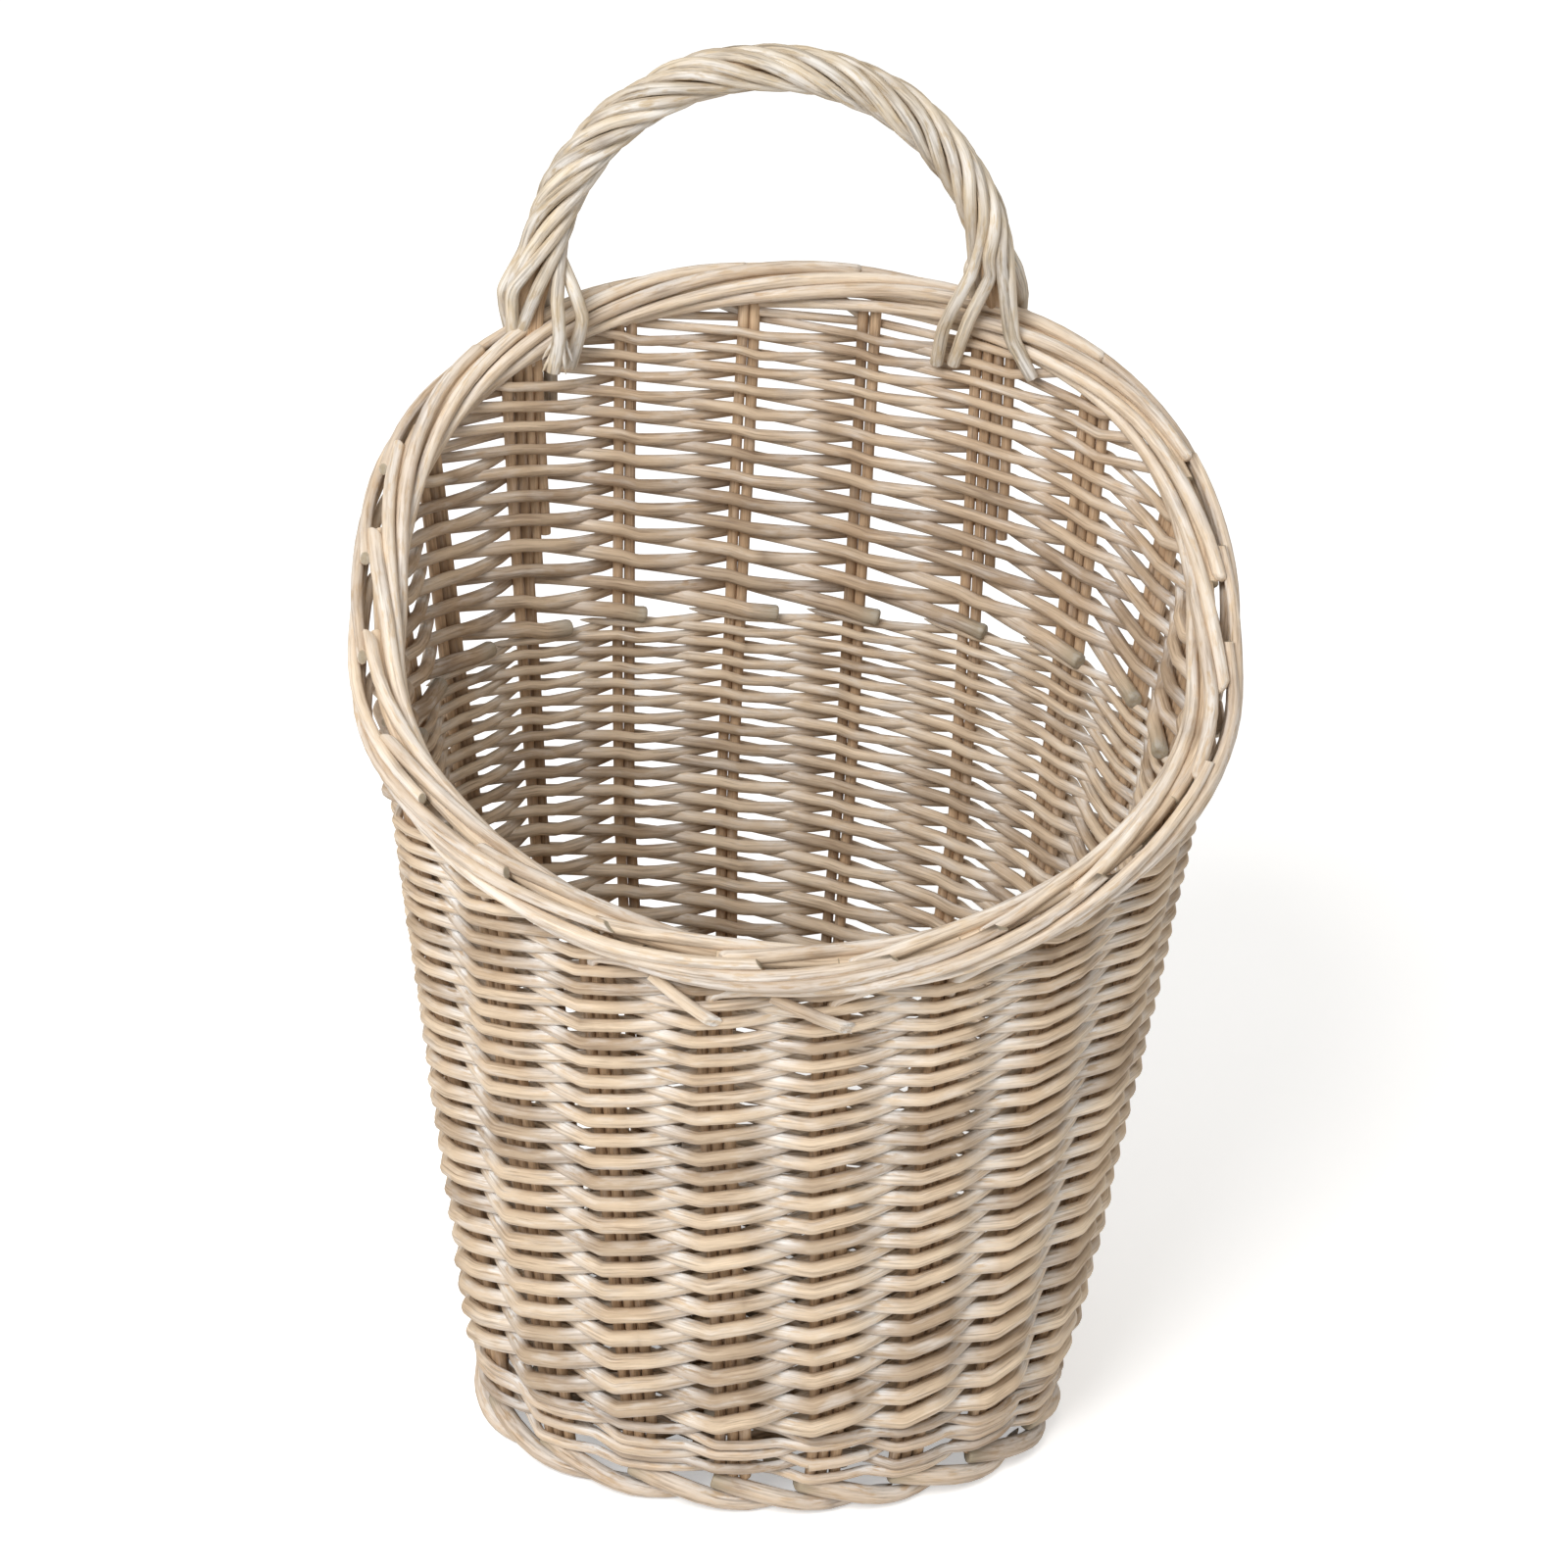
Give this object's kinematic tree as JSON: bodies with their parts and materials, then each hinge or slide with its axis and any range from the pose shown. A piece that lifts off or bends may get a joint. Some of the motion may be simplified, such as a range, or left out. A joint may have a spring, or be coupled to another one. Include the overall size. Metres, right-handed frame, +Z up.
{
  "type": "egg collection basket",
  "caption": "Flat-backed woven willow gathering basket with a high back, a sloping rim that is low at the front, and a roped arch handle for carrying or hanging.",
  "frame": {"origin": "on the floor plane, at the middle of the overall width and depth", "axes": "+Z up, +Y towards the flat high back that hangs against a wall, +X to the right of a person facing the low front"},
  "size_m": [0.3027, 0.2555, 0.4764],
  "materials": {
    "willow_base": "matt, grey-washed",
    "willow_foot": "matt, grey-washed",
    "willow_stakes": "matt, grey-washed",
    "willow_siding": "matt, grey-washed",
    "willow_border": "matt, grey-washed",
    "willow_rope": "matt, grey-washed"
  },
  "bodies": {
    "root": {"base_sticks": "willow_base", "base_weavers_front": "willow_base", "base_weavers_middle": "willow_base", "base_weavers_back": "willow_base", "foot_border_rods": "willow_foot", "upset_wale_lower": "willow_foot", "upset_wale_upper": "willow_foot", "front_stakes": "willow_stakes", "front_bye_stakes": "willow_stakes", "left_side_stakes": "willow_stakes", "left_side_bye_stakes": "willow_stakes", "right_side_stakes": "willow_stakes", "right_side_bye_stakes": "willow_stakes", "back_stakes": "willow_stakes", "back_bye_stakes": "willow_stakes", "left_leg_stakes": "willow_stakes", "right_leg_stakes": "willow_stakes", "lower_siding_thick": "willow_siding", "lower_siding_middle": "willow_siding", "lower_siding_thin": "willow_siding", "lower_siding_tips": "willow_siding", "upper_siding_thick": "willow_siding", "upper_siding_middle": "willow_siding", "upper_siding_thin": "willow_siding", "front_border_rods": "willow_border", "left_border_rods": "willow_border", "right_border_rods": "willow_border", "back_border_rods": "willow_border", "core_rod_1": "willow_stakes", "core_rod_2": "willow_stakes", "core_rod_3": "willow_stakes", "rope_strand_1": "willow_rope", "rope_strand_2": "willow_rope", "rope_strand_3": "willow_rope", "rope_strand_4": "willow_rope", "rope_strand_5": "willow_rope", "left_tuck_loop": "willow_rope", "left_over_loop": "willow_rope", "right_tuck_loops": "willow_rope", "right_over_loop": "willow_rope"}
  },
  "joints": []
}
